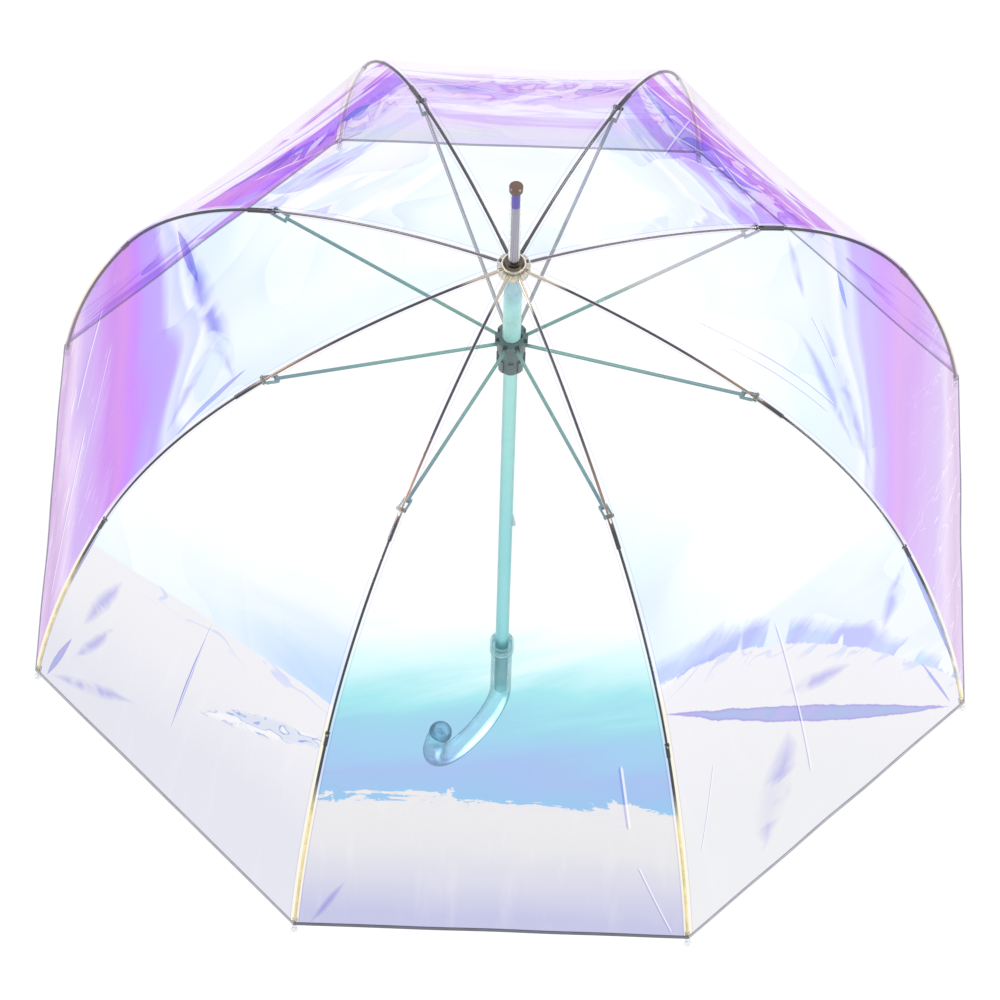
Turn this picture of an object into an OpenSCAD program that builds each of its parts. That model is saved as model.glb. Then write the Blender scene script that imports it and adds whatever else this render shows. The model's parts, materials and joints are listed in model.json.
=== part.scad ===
// Clear bubble umbrella: a deep see-through dome on eight curved ribs, a sliding runner with
// eight stretchers, a straight metal shaft and a clear crook handle. Millimetres, open at rest.
// The origin is the middle of the straight grip, +Z runs up the shaft, the crook points to -Y.

/* [Canopy] */
// Radius of the hem at the rib tips
hem_r = 425; // [300:1:600]
// Height of the rib pivots above the middle of the grip
crown_z = 654; // [500:1:900]
// Thickness of the film in the gores
film_t = 0.25; // [0.15:0.05:1]
// Gap between the middle of a rib and the inner face of the film
film_gap = 2.65; // [2.5:0.05:4]

/* [Ribs] */
// Radius of a rib rod
rib_r = 1.3; // [1:0.1:2.5]
// Radius of the circle through the rib pivots
pivot_r = 12.4; // [11.6:0.1:16]
// Slope of a rib where it leaves the crown, in degrees
slope_0 = 5; // [0:1:15]
// Slope of a rib at the stretcher joint, in degrees
slope_1 = 25; // [18:1:35]
// Slope of a rib at its lower joint, in degrees
slope_2 = 63; // [50:1:70]
// Bend radius of the upper length
bend_a = 600; // [400:5:900]
// Bend radius of the middle length
bend_b = 300; // [200:5:500]

/* [Stretchers and runner] */
// Radius of a stretcher rod
stretcher_r = 1.5; // [1.2:0.1:2.5]
// Radius of the toothed ring of the runner
ring_r = 13.6; // [12.5:0.1:18]
// Radius of the waist of the runner
waist_r = 10.5; // [9.5:0.1:10.6]
// Radius of the knob of the runner
knob_r = 12; // [11.2:0.1:16]
// Radial running clearance of the runner on the shaft
runner_play = 0.08; // [0.02:0.01:0.1]

/* [Shaft and ferrule] */
// Outer radius of the shaft tube
shaft_r = 6; // [5:0.1:8]
// Inner radius of the shaft tube
shaft_bore = 5.2; // [4:0.1:7]
// Outer radius of the stop sleeve
sleeve_r = 7.5; // [7:0.1:9]
// Height of the end of the ferrule above the middle of the grip
tip_z = 768; // [700:1:1000]
// Radius of the ferrule rod
ferrule_r = 4.8; // [4:0.1:7]
// Radius of the disc at the end of the ferrule
disc_r = 5.6; // [5:0.1:9]

/* [Handle] */
// Length of the straight grip
grip_len = 85; // [60:1:120]
// Radius of the handle rod
handle_r = 9.5; // [8:0.1:13]
// Bend radius from the grip to the lowest point of the crook
crook_a = 50; // [35:1:70]
// Bend radius from the lowest point to the end of the crook
crook_b = 34; // [25:1:50]
// Angle turned after the lowest point, in degrees
crook_turn = 126; // [80:1:150]
// Radius of the ball at the end of the crook
ball_r = 10.5; // [10:0.1:15]

/* [Hidden] */
$fn = 64;
count = 8;
pitch = 360 / count;
// Ends of the three lengths of a rib, as [radius, height]
a_mid = [pivot_r - bend_a * sin(slope_0), crown_z - bend_a * cos(slope_0)];
joint = a_mid + bend_a * [sin(slope_1), cos(slope_1)];
b_mid = joint - bend_b * [sin(slope_1), cos(slope_1)];
knee = b_mid + bend_b * [sin(slope_2), cos(slope_2)];
// The hem is as far below the knee as a plain arc to the hem radius brings it
hem_z = 254;
c_rise = knee[1] - hem_z;
c_run = hem_r - knee[0];
c_chord = sqrt(c_run * c_run + c_rise * c_rise);
c_half = atan2(c_rise, c_run) - slope_2;
bend_c = c_chord / (2 * sin(c_half));
slope_3 = slope_2 + 2 * c_half;
c_mid = knee - bend_c * [sin(slope_2), cos(slope_2)];
hem = [hem_r, hem_z];
// The stretcher is as long as the rib between its two pivots
drop = crown_z - joint[1];
runner_z = crown_z - 2 * drop;
arm = sqrt(pow(joint[0] - pivot_r, 2) + drop * drop);
arm_slope = atan2(drop, joint[0] - pivot_r);
ring_top = 6;
catch_turn = 45;
catch_low_z = 257.5;
catch_top_z = runner_z - 12;
grip_low = -grip_len / 2;
crook_low = grip_low - crook_a;

// A rod of radius r bent to an arc in the XZ plane, between two slopes
module bent_rod(mid, bend, from, to, r) {
  translate([mid[0], 0, mid[1]])
    rotate([90, 0, 0])
      rotate([0, 0, 90 - to])
        rotate_extrude(angle = to - from, $fn = 180)
          translate([bend, 0])
            circle(r = r, $fn = 32);
}

// A disc across the XZ plane at a point, from y = low to y = high
module cross_disc(at, r, low, high) {
  translate([at[0], high, at[1]])
    rotate([90, 0, 0])
      cylinder(r = r, h = high - low, $fn = 32);
}

// A bar from a point in the XZ plane, running out at a slope, sized [length, width, height]
module bar(at, slope, start, size) {
  translate([at[0], 0, at[1]])
    rotate([0, slope, 0])
      translate([start, -size[1] / 2, -size[2] / 2])
        cube(size);
}

// A rod from a point in the XZ plane, running out at a slope
module rod(at, slope, start, length, r) {
  translate([at[0], 0, at[1]])
    rotate([0, slope + 90, 0])
      translate([0, 0, start])
        cylinder(r = r, h = length, $fn = 32);
}

function turned(length, bend) = length / bend * 180 / PI;

// Upper length: eye in the crown, root sheath, rod, tongue and rivet at the stretcher joint
module rib_upper() {
  difference() {
    union() {
      cross_disc([pivot_r, crown_z], 1.9, -1.3, 1.3);
      bent_rod(a_mid, bend_a, slope_0, slope_1 - turned(2.8, bend_a), rib_r);
      bent_rod(a_mid, bend_a, slope_0 + turned(3, bend_a), slope_0 + turned(16, bend_a), 1.6);
      bar(joint, slope_1 - 180, 0, [5.5, 1.2, 2.4]);
      cross_disc(joint, 1.9, -0.6, 0.6);
      cross_disc(joint, 0.7, -4.1, 4.1);
      cross_disc(joint, 1.3, 3.75, 4.35);
      cross_disc(joint, 1.3, -4.35, -3.75);
    }
    cross_disc([pivot_r, crown_z], 0.55, -2, 2);
  }
}

// Middle length: slotted joint sleeve, rod, and a tongue with a rivet at the knee
module rib_mid() {
  difference() {
    union() {
      cross_disc(joint, 1.9, -2.1, 2.1);
      bent_rod(b_mid, bend_b, slope_1, slope_1 + turned(27, bend_b), 2.1);
      bent_rod(b_mid, bend_b, slope_1 + turned(20, bend_b), slope_2 - turned(2.4, bend_b), rib_r);
    }
    bar(joint, slope_1, -4, [10, 1.5, 6]);
    cross_disc(joint, 0.75, -3, 3);
  }
  bar(knee, slope_2 - 180, 0, [4.5, 1, 2]);
  cross_disc(knee, 1.5, -0.5, 0.5);
  cross_disc(knee, 0.5, -1.8, 1.8);
}

// Lower length: slotted knee sleeve and rod down to the hem
module rib_lower() {
  difference() {
    union() {
      cross_disc(knee, 1.6, -1.8, 1.8);
      bent_rod(c_mid, bend_c, slope_2, slope_2 + turned(12, bend_c), 1.8);
      bent_rod(c_mid, bend_c, slope_2 + turned(8, bend_c), slope_3, rib_r);
    }
    bar(knee, slope_2, -3, [7.5, 1.3, 5]);
    cross_disc(knee, 0.55, -2.5, 2.5);
  }
}

// Tip cap with a round end, pushed on the end of a rib
module rib_tip() {
  difference() {
    union() {
      rod(hem, slope_3, -5, 14, 2.3);
      translate([hem[0] + 9 * cos(slope_3), 0, hem[1] - 9 * sin(slope_3)])
        sphere(r = 3, $fn = 32);
    }
    bent_rod(c_mid, bend_c, slope_3 - turned(8, bend_c), slope_3, rib_r);
  }
}

// Stretcher: fork round the joint sleeve, rod, and a rounded end in the runner
module stretcher() {
  difference() {
    union() {
      cross_disc(joint, 1.8, -3.6, 3.6);
      bar(joint, 180 - arm_slope, 0, [13, 7.2, 3]);
    }
    bar(joint, 180 - arm_slope, -3, [13.2, 4.8, 8]);
    cross_disc(joint, 0.75, -5, 5);
  }
  rod(joint, 180 - arm_slope, 11, arm - 11, stretcher_r);
  cross_disc([pivot_r, runner_z], 1.5, -1.5, 1.5);
}

function film_point(s, off) =
  s < 0 ? [pivot_r + 5 * s, crown_z + off + 0.4 * -s]
  : s < 1 ? a_mid + (bend_a + off) * [sin(slope_0 + s * (slope_1 - slope_0)),
                                      cos(slope_0 + s * (slope_1 - slope_0))]
  : s < 2 ? b_mid + (bend_b + off) * [sin(slope_1 + (s - 1) * (slope_2 - slope_1)),
                                      cos(slope_1 + (s - 1) * (slope_2 - slope_1))]
  : c_mid + (bend_c + off) * [sin(slope_2 + (s - 2) * (slope_3 - slope_2)),
                              cos(slope_2 + (s - 2) * (slope_3 - slope_2))];

film_s = [-0.7, 0, 0.2, 0.4, 0.6, 0.8, 1, 1.125, 1.25, 1.375, 1.5, 1.625, 1.75, 1.875, 2,
          2.25, 2.5, 2.75, 3];
film_n = len(film_s);

// One gore of film between two ribs, middle on +X, flat from rib to rib
module canopy_gore() {
  half = pitch / 2;
  outer = [for (s = film_s) film_point(s, film_gap + film_t)];
  inner = [for (s = film_s) film_point(s, film_gap)];
  points = concat(
    [for (p = outer) [p[0] * cos(half), p[0] * sin(half) - 0.3, p[1]]],
    [for (p = outer) [p[0] * cos(half), -p[0] * sin(half) + 0.3, p[1]]],
    [for (p = inner) [p[0] * cos(half), p[0] * sin(half) - 0.3, p[1]]],
    [for (p = inner) [p[0] * cos(half), -p[0] * sin(half) + 0.3, p[1]]]
  );
  n = film_n;
  faces = concat(
    [for (i = [0 : n - 2]) [i, i + 1, n + i + 1, n + i]],
    [for (i = [0 : n - 2]) [2 * n + i, 3 * n + i, 3 * n + i + 1, 2 * n + i + 1]],
    [for (i = [0 : n - 2]) [i, 2 * n + i, 2 * n + i + 1, i + 1]],
    [for (i = [0 : n - 2]) [n + i, n + i + 1, 3 * n + i + 1, 3 * n + i]],
    [[0, n, 3 * n, 2 * n]],
    [[n - 1, 3 * n - 1, 4 * n - 1, 2 * n - 1]]
  );
  polyhedron(points = points, faces = faces, convexity = 6);
}

// Spring catch in its window, with a flange inside the tube and a sloping nose
module catch_piece(z) {
  rotate([0, 0, catch_turn])
    translate([0, 1.4, z])
      rotate([90, 0, 0])
        linear_extrude(height = 2.8)
          polygon([[1.2, -10], [4.3, -10], [4.3, -8], [8.6, -8], [8.6, -6], [6.4, 8],
                   [4.3, 8], [4.3, 10], [1.2, 10]]);
}

module catch_window(z) {
  rotate([0, 0, catch_turn])
    translate([4, -1.6, z - 8.3])
      cube([4, 3.2, 16.6]);
}

module shaft() {
  color([0.82, 0.84, 0.85])
    difference() {
      translate([0, 0, grip_low])
        cylinder(r = shaft_r, h = crown_z + 8.5 - grip_low);
      translate([0, 0, grip_low - 1])
        cylinder(r = shaft_bore, h = crown_z + 12 - grip_low);
      catch_window(catch_top_z);
      catch_window(catch_low_z);
    }
}

module ferrule() {
  color([0.78, 0.77, 0.74]) {
    translate([0, 0, crown_z - 11.5])
      cylinder(r = shaft_bore, h = 20);
    translate([0, 0, crown_z + 8.5])
      cylinder(r = shaft_r + 0.5, h = 2);
    translate([0, 0, crown_z + 10])
      cylinder(r = ferrule_r, h = tip_z - 6 - crown_z - 10);
    translate([0, 0, tip_z - 7])
      cylinder(r = 3, h = 5);
  }
}

module ferrule_tip() {
  color([0.72, 0.72, 0.74])
    difference() {
      union() {
        translate([0, 0, tip_z - 6])
          cylinder(r = disc_r, h = 5);
        translate([0, 0, tip_z - 1])
          cylinder(r1 = disc_r, r2 = disc_r - 1, h = 1);
      }
      translate([0, 0, tip_z - 7])
        cylinder(r = 3, h = 5);
    }
}

module top_cap() {
  color([0.62, 0.58, 0.5])
    difference() {
      union() {
        translate([0, 0, crown_z + 3.9])
          cylinder(r = 10, h = 1.6);
        translate([0, 0, crown_z + 5.5])
          cylinder(r1 = 9, r2 = 7.6, h = 3);
      }
      translate([0, 0, crown_z])
        cylinder(r = shaft_r, h = 12);
    }
}

module crown() {
  color([0.24, 0.26, 0.26]) {
    difference() {
      union() {
        translate([0, 0, crown_z - 4])
          cylinder(r = ring_r, h = 5.9);
        translate([0, 0, crown_z - 9])
          cylinder(r = 9.4, h = 6);
      }
      translate([0, 0, crown_z - 10])
        cylinder(r = shaft_r, h = 14);
      for (i = [0 : count - 1])
        rotate([0, 0, (i + 0.5) * pitch])
          translate([9.9, -1.7, crown_z - 10])
            cube([6, 3.4, 14]);
    }
    for (i = [0 : count - 1])
      rotate([0, 0, (i + 0.5) * pitch])
        cross_disc([pivot_r, crown_z], 0.5, -2.4, 2.4);
  }
}

module stop_sleeve() {
  color([0.55, 0.58, 0.58])
    difference() {
      translate([0, 0, runner_z + ring_top + 0.4])
        cylinder(r = sleeve_r, h = crown_z - 9 - runner_z - ring_top - 0.4);
      translate([0, 0, runner_z])
        cylinder(r = shaft_r, h = crown_z - runner_z);
    }
}

module runner() {
  color([0.3, 0.34, 0.34])
    difference() {
      union() {
        translate([0, 0, runner_z - 5])
          cylinder(r = ring_r, h = ring_top + 5);
        translate([0, 0, runner_z - 38])
          cylinder(r = waist_r, h = 34);
        translate([0, 0, runner_z - 36])
          cylinder(r = knob_r, h = 15);
      }
      translate([0, 0, runner_z - 40])
        cylinder(r = shaft_r + runner_play, h = 50);
      for (i = [0 : count - 1])
        rotate([0, 0, (i + 0.5) * pitch])
          translate([waist_r, -2, runner_z - 40])
            cube([6, 4, 50]);
      rotate([0, 0, catch_turn])
        translate([0, -1.8, runner_z - 40])
          cube([9, 3.6, 50]);
    }
}

module catch_top() {
  color([0.7, 0.72, 0.74])
    catch_piece(catch_top_z);
}

module catch_bottom() {
  color([0.7, 0.72, 0.74])
    catch_piece(catch_low_z);
}

module handle() {
  color([0.85, 0.95, 0.97, 0.6]) {
    difference() {
      translate([0, 0, grip_low])
        cylinder(r = handle_r, h = grip_len - 6);
      translate([0, 0, grip_low])
        cylinder(r = shaft_r, h = grip_len);
    }
    rotate([0, 0, -90]) {
      translate([crook_a, 0, grip_low])
        rotate([90, 0, 0])
          rotate([0, 0, 180])
            rotate_extrude(angle = 90, $fn = 180)
              translate([crook_a, 0])
                circle(r = handle_r);
      translate([crook_a, 0, crook_low + crook_b])
        rotate([90, 0, 0])
          rotate([0, 0, -90])
            rotate_extrude(angle = crook_turn, $fn = 180)
              translate([crook_b, 0])
                circle(r = handle_r);
      translate([crook_a + crook_b * sin(crook_turn), 0,
                 crook_low + crook_b - crook_b * cos(crook_turn)])
        rotate([0, 90 - crook_turn, 0])
          translate([0, 0, -1])
            cylinder(r = 5, h = 6);
    }
  }
}

module handle_collar() {
  color([0.85, 0.95, 0.97, 0.6])
    difference() {
      translate([0, 0, grip_len / 2 - 14])
        cylinder(r = 10.9, h = 14.5);
      translate([0, 0, grip_len / 2 - 15])
        cylinder(r = handle_r, h = 9);
      translate([0, 0, grip_len / 2 - 8])
        cylinder(r = shaft_r, h = 10);
      translate([0, 0, grip_len / 2 - 4])
        cylinder(r = 8.8, h = 6);
    }
}

module handle_end() {
  color([0.35, 0.39, 0.42])
    rotate([0, 0, -90])
      translate([crook_a + crook_b * sin(crook_turn), 0,
                 crook_low + crook_b - crook_b * cos(crook_turn)])
        rotate([0, 90 - crook_turn, 0])
          difference() {
            translate([0, 0, 4])
              sphere(r = ball_r);
            translate([-15, -15, -20])
              cube([30, 30, 20]);
            translate([0, 0, -1])
              cylinder(r = 5, h = 6);
          }
}

module rib_upper_1() {
  color([0.42, 0.44, 0.44])
    rotate([0, 0, 0.5 * pitch])
      rib_upper();
}

module rib_upper_2() {
  color([0.42, 0.44, 0.44])
    rotate([0, 0, 1.5 * pitch])
      rib_upper();
}

module rib_upper_3() {
  color([0.42, 0.44, 0.44])
    rotate([0, 0, 2.5 * pitch])
      rib_upper();
}

module rib_upper_4() {
  color([0.42, 0.44, 0.44])
    rotate([0, 0, 3.5 * pitch])
      rib_upper();
}

module rib_upper_5() {
  color([0.42, 0.44, 0.44])
    rotate([0, 0, 4.5 * pitch])
      rib_upper();
}

module rib_upper_6() {
  color([0.42, 0.44, 0.44])
    rotate([0, 0, 5.5 * pitch])
      rib_upper();
}

module rib_upper_7() {
  color([0.42, 0.44, 0.44])
    rotate([0, 0, 6.5 * pitch])
      rib_upper();
}

module rib_upper_8() {
  color([0.42, 0.44, 0.44])
    rotate([0, 0, 7.5 * pitch])
      rib_upper();
}

module rib_mid_1() {
  color([0.42, 0.44, 0.44])
    rotate([0, 0, 0.5 * pitch])
      rib_mid();
}

module rib_mid_2() {
  color([0.42, 0.44, 0.44])
    rotate([0, 0, 1.5 * pitch])
      rib_mid();
}

module rib_mid_3() {
  color([0.42, 0.44, 0.44])
    rotate([0, 0, 2.5 * pitch])
      rib_mid();
}

module rib_mid_4() {
  color([0.42, 0.44, 0.44])
    rotate([0, 0, 3.5 * pitch])
      rib_mid();
}

module rib_mid_5() {
  color([0.42, 0.44, 0.44])
    rotate([0, 0, 4.5 * pitch])
      rib_mid();
}

module rib_mid_6() {
  color([0.42, 0.44, 0.44])
    rotate([0, 0, 5.5 * pitch])
      rib_mid();
}

module rib_mid_7() {
  color([0.42, 0.44, 0.44])
    rotate([0, 0, 6.5 * pitch])
      rib_mid();
}

module rib_mid_8() {
  color([0.42, 0.44, 0.44])
    rotate([0, 0, 7.5 * pitch])
      rib_mid();
}

module rib_lower_1() {
  color([0.55, 0.53, 0.45])
    rotate([0, 0, 0.5 * pitch])
      rib_lower();
}

module rib_lower_2() {
  color([0.55, 0.53, 0.45])
    rotate([0, 0, 1.5 * pitch])
      rib_lower();
}

module rib_lower_3() {
  color([0.55, 0.53, 0.45])
    rotate([0, 0, 2.5 * pitch])
      rib_lower();
}

module rib_lower_4() {
  color([0.55, 0.53, 0.45])
    rotate([0, 0, 3.5 * pitch])
      rib_lower();
}

module rib_lower_5() {
  color([0.55, 0.53, 0.45])
    rotate([0, 0, 4.5 * pitch])
      rib_lower();
}

module rib_lower_6() {
  color([0.55, 0.53, 0.45])
    rotate([0, 0, 5.5 * pitch])
      rib_lower();
}

module rib_lower_7() {
  color([0.55, 0.53, 0.45])
    rotate([0, 0, 6.5 * pitch])
      rib_lower();
}

module rib_lower_8() {
  color([0.55, 0.53, 0.45])
    rotate([0, 0, 7.5 * pitch])
      rib_lower();
}

module rib_tip_1() {
  color([0.9, 0.92, 0.92])
    rotate([0, 0, 0.5 * pitch])
      rib_tip();
}

module rib_tip_2() {
  color([0.9, 0.92, 0.92])
    rotate([0, 0, 1.5 * pitch])
      rib_tip();
}

module rib_tip_3() {
  color([0.9, 0.92, 0.92])
    rotate([0, 0, 2.5 * pitch])
      rib_tip();
}

module rib_tip_4() {
  color([0.9, 0.92, 0.92])
    rotate([0, 0, 3.5 * pitch])
      rib_tip();
}

module rib_tip_5() {
  color([0.9, 0.92, 0.92])
    rotate([0, 0, 4.5 * pitch])
      rib_tip();
}

module rib_tip_6() {
  color([0.9, 0.92, 0.92])
    rotate([0, 0, 5.5 * pitch])
      rib_tip();
}

module rib_tip_7() {
  color([0.9, 0.92, 0.92])
    rotate([0, 0, 6.5 * pitch])
      rib_tip();
}

module rib_tip_8() {
  color([0.9, 0.92, 0.92])
    rotate([0, 0, 7.5 * pitch])
      rib_tip();
}

module stretcher_1() {
  color([0.5, 0.56, 0.56])
    rotate([0, 0, 0.5 * pitch])
      stretcher();
}

module stretcher_2() {
  color([0.5, 0.56, 0.56])
    rotate([0, 0, 1.5 * pitch])
      stretcher();
}

module stretcher_3() {
  color([0.5, 0.56, 0.56])
    rotate([0, 0, 2.5 * pitch])
      stretcher();
}

module stretcher_4() {
  color([0.5, 0.56, 0.56])
    rotate([0, 0, 3.5 * pitch])
      stretcher();
}

module stretcher_5() {
  color([0.5, 0.56, 0.56])
    rotate([0, 0, 4.5 * pitch])
      stretcher();
}

module stretcher_6() {
  color([0.5, 0.56, 0.56])
    rotate([0, 0, 5.5 * pitch])
      stretcher();
}

module stretcher_7() {
  color([0.5, 0.56, 0.56])
    rotate([0, 0, 6.5 * pitch])
      stretcher();
}

module stretcher_8() {
  color([0.5, 0.56, 0.56])
    rotate([0, 0, 7.5 * pitch])
      stretcher();
}

module canopy_panel_1() {
  color([0.88, 0.94, 1, 0.35])
    rotate([0, 0, 1 * pitch])
      canopy_gore();
}

module canopy_panel_2() {
  color([0.88, 0.94, 1, 0.35])
    rotate([0, 0, 2 * pitch])
      canopy_gore();
}

module canopy_panel_3() {
  color([0.88, 0.94, 1, 0.35])
    rotate([0, 0, 3 * pitch])
      canopy_gore();
}

module canopy_panel_4() {
  color([0.88, 0.94, 1, 0.35])
    rotate([0, 0, 4 * pitch])
      canopy_gore();
}

module canopy_panel_5() {
  color([0.88, 0.94, 1, 0.35])
    rotate([0, 0, 5 * pitch])
      canopy_gore();
}

module canopy_panel_6() {
  color([0.88, 0.94, 1, 0.35])
    rotate([0, 0, 6 * pitch])
      canopy_gore();
}

module canopy_panel_7() {
  color([0.88, 0.94, 1, 0.35])
    rotate([0, 0, 7 * pitch])
      canopy_gore();
}

module canopy_panel_8() {
  color([0.88, 0.94, 1, 0.35])
    rotate([0, 0, 8 * pitch])
      canopy_gore();
}

shaft();
ferrule();
ferrule_tip();
top_cap();
crown();
stop_sleeve();
runner();
catch_top();
catch_bottom();
handle();
handle_collar();
handle_end();
rib_upper_1();
rib_upper_2();
rib_upper_3();
rib_upper_4();
rib_upper_5();
rib_upper_6();
rib_upper_7();
rib_upper_8();
rib_mid_1();
rib_mid_2();
rib_mid_3();
rib_mid_4();
rib_mid_5();
rib_mid_6();
rib_mid_7();
rib_mid_8();
rib_lower_1();
rib_lower_2();
rib_lower_3();
rib_lower_4();
rib_lower_5();
rib_lower_6();
rib_lower_7();
rib_lower_8();
rib_tip_1();
rib_tip_2();
rib_tip_3();
rib_tip_4();
rib_tip_5();
rib_tip_6();
rib_tip_7();
rib_tip_8();
stretcher_1();
stretcher_2();
stretcher_3();
stretcher_4();
stretcher_5();
stretcher_6();
stretcher_7();
stretcher_8();
canopy_panel_1();
canopy_panel_2();
canopy_panel_3();
canopy_panel_4();
canopy_panel_5();
canopy_panel_6();
canopy_panel_7();
canopy_panel_8();
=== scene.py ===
"""Looks of the clear bubble umbrella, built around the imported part. Metres, in the part's frame."""

import json
import math
from collections import namedtuple

import bpy
import numpy as np
from mathutils import Matrix, Vector


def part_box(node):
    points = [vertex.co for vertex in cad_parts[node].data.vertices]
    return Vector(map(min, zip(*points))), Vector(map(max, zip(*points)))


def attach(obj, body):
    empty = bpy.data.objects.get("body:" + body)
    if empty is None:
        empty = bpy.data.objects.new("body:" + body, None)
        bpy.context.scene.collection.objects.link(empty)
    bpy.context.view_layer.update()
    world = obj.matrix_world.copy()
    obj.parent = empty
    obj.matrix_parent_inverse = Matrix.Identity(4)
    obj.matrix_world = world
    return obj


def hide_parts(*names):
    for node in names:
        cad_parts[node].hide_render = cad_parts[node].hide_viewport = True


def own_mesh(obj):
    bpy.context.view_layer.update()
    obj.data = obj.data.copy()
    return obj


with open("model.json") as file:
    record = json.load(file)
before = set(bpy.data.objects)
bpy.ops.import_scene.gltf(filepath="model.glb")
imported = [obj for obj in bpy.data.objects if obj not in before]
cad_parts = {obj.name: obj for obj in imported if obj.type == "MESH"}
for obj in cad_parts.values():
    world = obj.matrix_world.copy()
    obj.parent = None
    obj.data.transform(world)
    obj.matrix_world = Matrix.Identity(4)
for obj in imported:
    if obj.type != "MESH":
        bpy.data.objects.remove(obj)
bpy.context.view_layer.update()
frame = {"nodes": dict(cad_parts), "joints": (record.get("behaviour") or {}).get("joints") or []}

RIBS = 8
PITCH = 2 * math.pi / RIBS
FRONT_GORE = 7
# Radius of the hem at the rib tips, and the hem line's height over the lowest point of the film in CAD
HEM_RADIUS = 0.425
HEM_RISE = 0.0005
# Distance from the middle of a rib out to the film
FILM_OFFSET = 0.00278
# How far the film sags inward between two ribs, and the height of its long waves and of those near the hem
SAG = 0.0045
WAVE = 0.0008
HEM_WAVE = 0.0006


# ---------------------------------------------------------------- rib profile
def joint_at(name):
    """A hinge's place as (radius, height)."""
    x, y, z = next(j for j in frame["joints"] if j["name"] == name)["pos_m"]
    return np.array([math.hypot(x, y), z])


ROOT = joint_at("rib_1_root")
JOINT = joint_at("rib_1_bend")
KNEE = joint_at("rib_1_knee")
HEM_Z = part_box("canopy_panel_1")[0][2] + HEM_RISE
HEM = np.array([HEM_RADIUS, HEM_Z])
# Slopes of a rib at its root, bend, knee and hem. The last length is a plain arc from the knee to the hem.
SLOPES = [math.radians(a) for a in (5, 25, 63)]
chord = HEM - KNEE
SLOPES.append(2 * math.atan2(-chord[1], chord[0]) - SLOPES[2])


def arc(start, end, a, b):
    """Middle and radius of the arc that leaves start at slope a and meets end at slope b."""
    bend = np.linalg.norm(end - start) / (2 * math.sin((b - a) / 2))
    return start - bend * np.array([math.sin(a), math.cos(a)]), bend


ARCS = [arc(ROOT, JOINT, SLOPES[0], SLOPES[1]),
        arc(JOINT, KNEE, SLOPES[1], SLOPES[2]),
        arc(KNEE, HEM, SLOPES[2], SLOPES[3])]
LENGTHS = [bend * (SLOPES[i + 1] - SLOPES[i]) for i, (_, bend) in enumerate(ARCS)]
REACH = np.cumsum([0] + LENGTHS)


def slope_at(s):
    """Slope of a rib, s metres along it from the root."""
    s = np.asarray(s, float)
    slope = SLOPES[0] + s / ARCS[0][1]
    for i in (1, 2):
        slope = np.where(s >= REACH[i], SLOPES[i] + (s - REACH[i]) / ARCS[i][1], slope)
    return slope


def profile(s, offset):
    """(radius, height) on a rib's outer side, s metres along it from the root."""
    s = np.asarray(s, float)
    slope = slope_at(s)
    r = ARCS[0][0][0] + (ARCS[0][1] + offset) * np.sin(slope)
    z = ARCS[0][0][1] + (ARCS[0][1] + offset) * np.cos(slope)
    for i in (1, 2):
        mid, bend = ARCS[i]
        r = np.where(s >= REACH[i], mid[0] + (bend + offset) * np.sin(slope), r)
        z = np.where(s >= REACH[i], mid[1] + (bend + offset) * np.cos(slope), z)
    return r, z


# ---------------------------------------------------------------- film shape
def ripples(angle, s, terms, seed, low, high):
    """A smooth wavy field over the dome, the same where sectors meet."""
    rng = np.random.default_rng(seed)
    out = 0
    for _ in range(terms):
        k = rng.integers(low[0], low[1] + 1) * rng.choice([-1, 1])
        m = rng.uniform(high[0], high[1])
        out = out + rng.uniform(0.5, 1) * np.sin(k * angle + m * s + rng.uniform(0, 6.283))
    return out / terms ** 0.5


def film_point(rib, side, u, s, offset=FILM_OFFSET):
    """A point of the film: u runs from 0 on the rib to 1 on the fold in the middle of the gore."""
    r, z = profile(s, offset)
    half = PITCH / 2
    rib_angle = (rib + 0.5) * PITCH
    fold_angle = rib_angle + side * half
    fold_x, fold_y = math.cos(fold_angle), math.sin(fold_angle)
    on_rib = np.stack([r * math.cos(rib_angle), r * math.sin(rib_angle), z], -1)
    on_fold = np.stack([r * math.cos(half) * fold_x, r * math.cos(half) * fold_y, z], -1)
    flat = on_rib + u[..., None] * (on_fold - on_rib)
    angle = np.arctan2(flat[..., 1], flat[..., 0])
    slope = slope_at(s)
    outward = np.stack([np.sin(slope) * fold_x, np.sin(slope) * fold_y, np.cos(slope)], -1)
    v = np.clip(s / REACH[3], 0, 1)
    free = 1 - (1 - u) ** 2
    taut = np.sin(v * math.pi) ** 0.7
    edge = np.clip((v - 0.55) / 0.45, 0, 1) ** 2
    waves = ripples(angle, s, 7, 3, (3, 13), (8, 34)) * np.clip(v * 4, 0, 1)
    push = -SAG * free * taut
    push = push + WAVE * free * (0.35 + taut) * waves
    push = push + HEM_WAVE * free * edge * ripples(angle, s, 6, 8, (9, 31), (4, 30))
    return flat + outward * push[..., None]


def film_normal(rib, side, u, s):
    step = 1e-4
    du = film_point(rib, side, u + step, s) - film_point(rib, side, u - step, s)
    ds = film_point(rib, side, u, s + step) - film_point(rib, side, u, s - step)
    n = np.cross(ds, du) * side
    return n / np.linalg.norm(n, axis=-1, keepdims=True)


def grid_faces(rows, cols, first, flip):
    out = []
    for i in range(rows - 1):
        for j in range(cols - 1):
            a = first + i * cols + j
            q = (a, a + 1, a + cols + 1, a + cols)
            out.append(q[::-1] if flip else q)
    return out


def new_mesh(name, points, faces, materials):
    mesh = bpy.data.meshes.new(name)
    mesh.from_pydata([tuple(map(float, p)) for p in points], [], faces)
    mesh.update()
    for material in materials:
        mesh.materials.append(material)
    obj = bpy.data.objects.new(name, mesh)
    bpy.context.scene.collection.objects.link(obj)
    return obj


# ---------------------------------------------------------------- node materials
WHITE = (1.0, 1.0, 1.0)


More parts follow.
